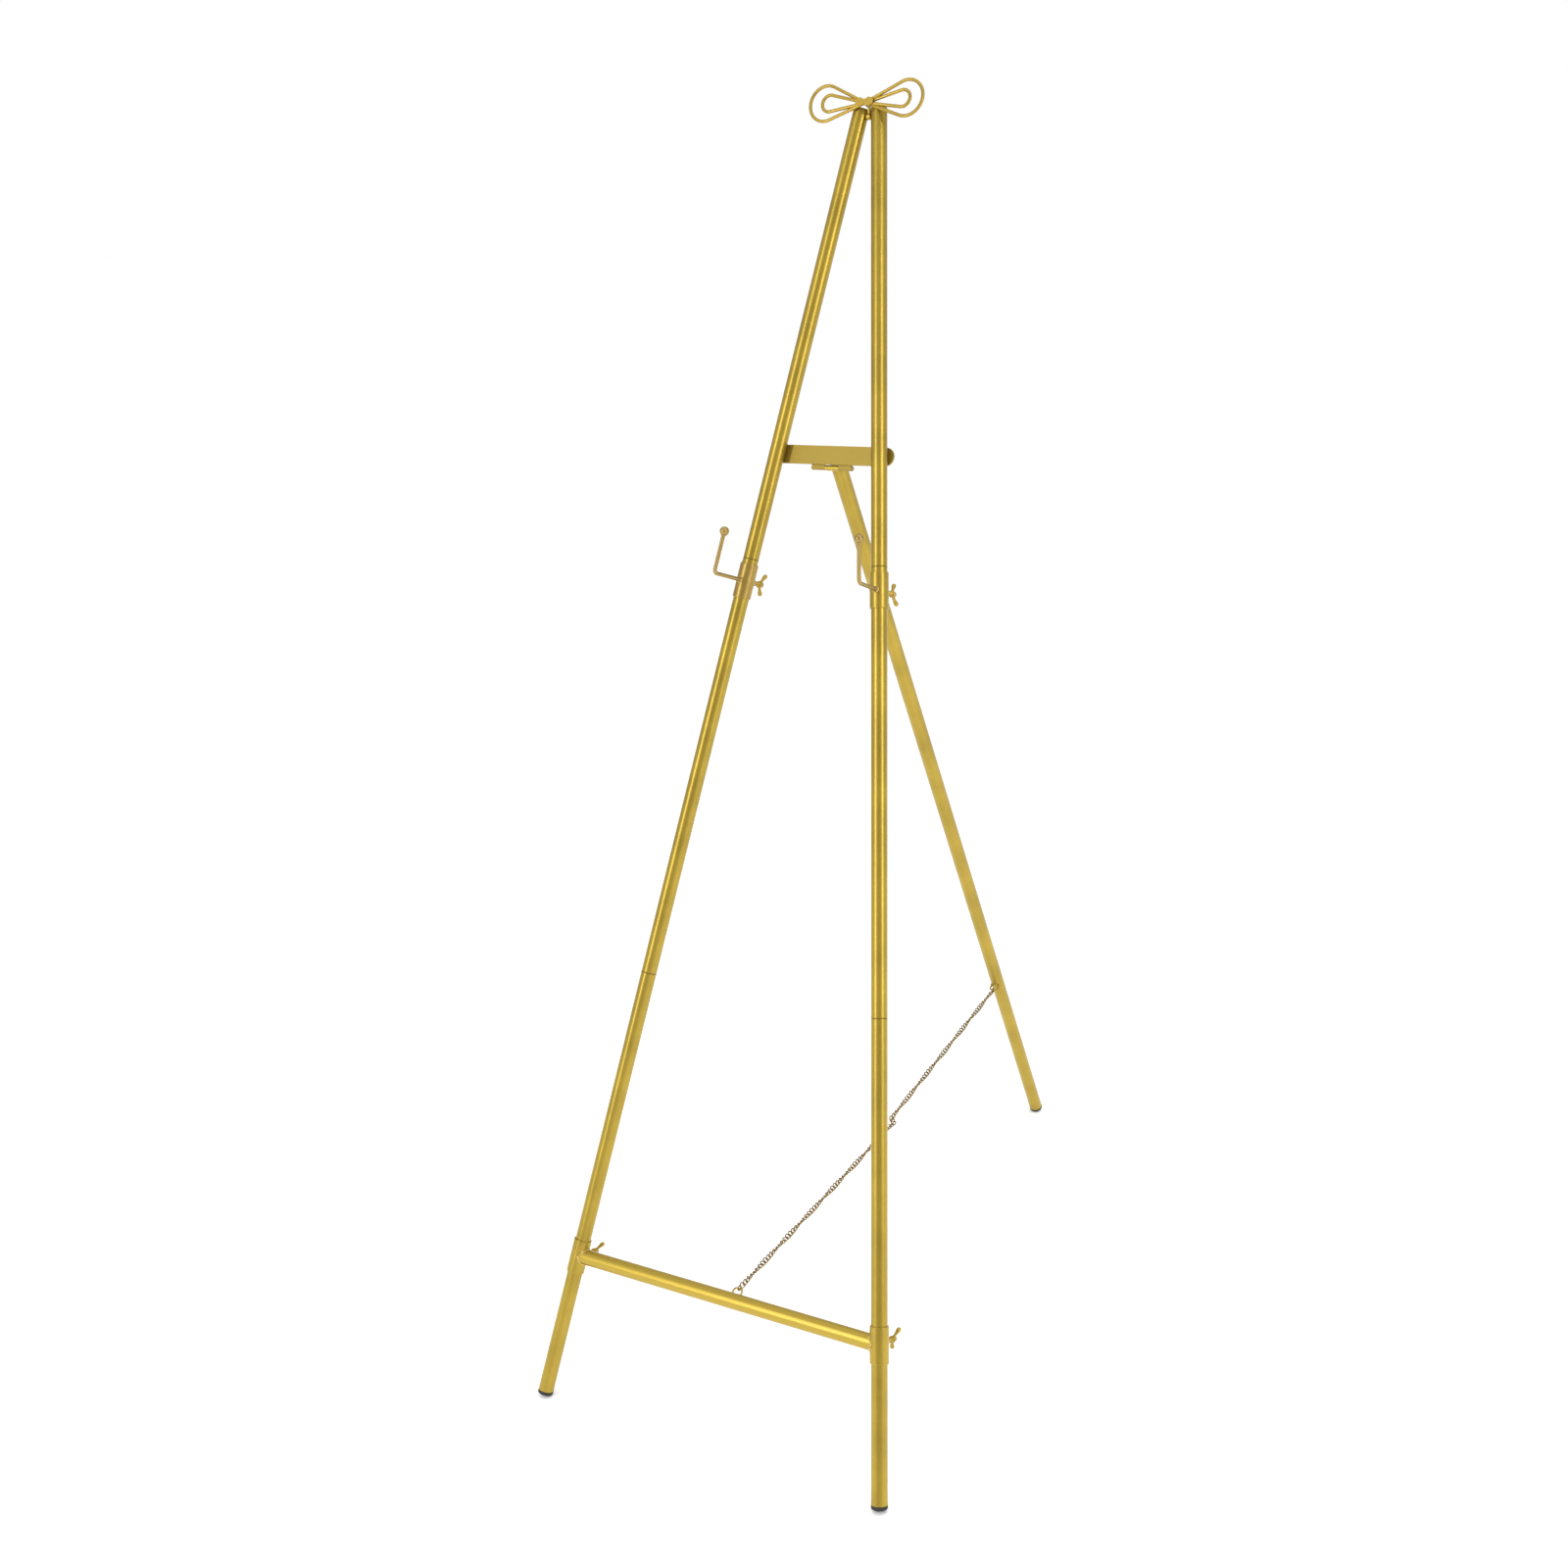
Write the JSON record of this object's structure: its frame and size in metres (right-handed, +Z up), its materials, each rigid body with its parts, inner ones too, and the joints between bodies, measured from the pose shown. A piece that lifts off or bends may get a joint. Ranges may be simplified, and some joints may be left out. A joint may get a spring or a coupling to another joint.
{
  "type": "floor display easel",
  "caption": "Folding floor display easel in gold tube: leaning front frame, hinged rear leg on a limiting chain, shelf bar, sliding board hooks and a wire bow topper.",
  "frame": {"origin": "on the floor, at the middle of the footprint", "axes": "+Z up, +X to the viewer's right, +Y towards the rear leg"},
  "size_m": [0.494, 0.9452, 1.5182],
  "materials": {
    "tube_gold": "satin metallic gold powder coat",
    "fitting_gold": "satin metallic gold",
    "hook_gold": "satin champagne gold",
    "chain_gold": "brass-plated steel, satin",
    "plated_fastener": "gold-passivated steel",
    "foot_rubber": "matte black rubber"
  },
  "bodies": {
    "front_frame": {"left_leg_lower": "tube_gold", "left_leg_middle": "tube_gold", "left_leg_upper": "tube_gold", "right_leg_lower": "tube_gold", "right_leg_middle": "tube_gold", "right_leg_upper": "tube_gold", "left_foot_plug": "foot_rubber", "right_foot_plug": "foot_rubber", "apex_pin": "plated_fastener", "bow_bracket": "fitting_gold", "bow_wire": "fitting_gold", "bow_knot_plate": "fitting_gold", "cross_strip": "tube_gold", "strip_washers": "plated_fastener", "strip_screws": "plated_fastener", "strip_rivet_nuts": "plated_fastener", "hinge_fixed_leaf": "tube_gold", "hinge_pin": "plated_fastener", "left_bar_sleeve": "tube_gold", "right_bar_sleeve": "tube_gold", "shelf_bar": "tube_gold", "bar_chain_eye": "fitting_gold"},
    "rear_leg_body": {"hinge_moving_leaf": "tube_gold", "rear_leg": "tube_gold", "rear_foot_plug": "foot_rubber", "rear_chain_eye": "fitting_gold"},
    "left_hook": {"left_hook_sleeve": "tube_gold", "left_hook_wire": "hook_gold", "left_hook_ball": "hook_gold"},
    "right_hook": {"right_hook_sleeve": "tube_gold", "right_hook_wire": "hook_gold", "right_hook_ball": "hook_gold"},
    "left_hook_wing": {"left_hook_wing_screw": "fitting_gold"},
    "right_hook_wing": {"right_hook_wing_screw": "fitting_gold"},
    "left_bar_wing": {"left_bar_wing_screw": "fitting_gold"},
    "right_bar_wing": {"right_bar_wing_screw": "fitting_gold"},
    "chain_lower": {"chain_lower_half": "chain_gold"},
    "chain_upper": {"chain_upper_half": "chain_gold"}
  },
  "joints": [
    {"name": "rear_leg_fold", "type": "hinge", "parent": "front_frame", "child": "rear_leg_body", "pos_m": [0, -0.03715, 1.08944], "axis": [-1, 0, 0], "range_deg": [0, 44.5]},
    {"name": "left_hook_slide", "type": "slide", "parent": "front_frame", "child": "left_hook", "axis": [0.1412, 0.3499, 0.9261], "range_m": [-0.45, 0]},
    {"name": "right_hook_slide", "type": "slide", "parent": "front_frame", "child": "right_hook", "axis": [-0.1412, 0.3499, 0.9261], "range_m": [-0.45, 0]},
    {"name": "left_hook_screw_turn", "type": "hinge", "parent": "left_hook", "child": "left_hook_wing", "pos_m": [-0.09165, -0.10189, 0.96224], "axis": [0, 0.9354, -0.3535], "range_deg": [-360, 0]},
    {"name": "right_hook_screw_turn", "type": "hinge", "parent": "right_hook", "child": "right_hook_wing", "pos_m": [0.09165, -0.10189, 0.96224], "axis": [0, 0.9354, -0.3535], "range_deg": [-360, 0]},
    {"name": "left_bar_screw_turn", "type": "hinge", "parent": "front_frame", "child": "left_bar_wing", "pos_m": [-0.21223, -0.40079, 0.17121], "axis": [0, 0.9354, -0.3535], "range_deg": [-360, 0]},
    {"name": "right_bar_screw_turn", "type": "hinge", "parent": "front_frame", "child": "right_bar_wing", "pos_m": [0.21223, -0.40079, 0.17121], "axis": [0, 0.9354, -0.3535], "range_deg": [-360, 0]},
    {"name": "chain_lower_swing", "type": "hinge", "parent": "front_frame", "child": "chain_lower", "pos_m": [0.015, -0.38614, 0.17943], "axis": [1, 0, 0], "range_deg": [0, 66.41]},
    {"name": "chain_upper_swing", "type": "hinge", "parent": "rear_leg_body", "child": "chain_upper", "pos_m": [0, 0.33133, 0.25956], "axis": [-1, 0, 0], "range_deg": [0, 74.15]}
  ],
  "couplings": [
    {"joint": "chain_lower_swing", "follows": "rear_leg_fold", "ratio": 1.4812},
    {"joint": "chain_upper_swing", "follows": "rear_leg_fold", "ratio": 1.6551}
  ]
}
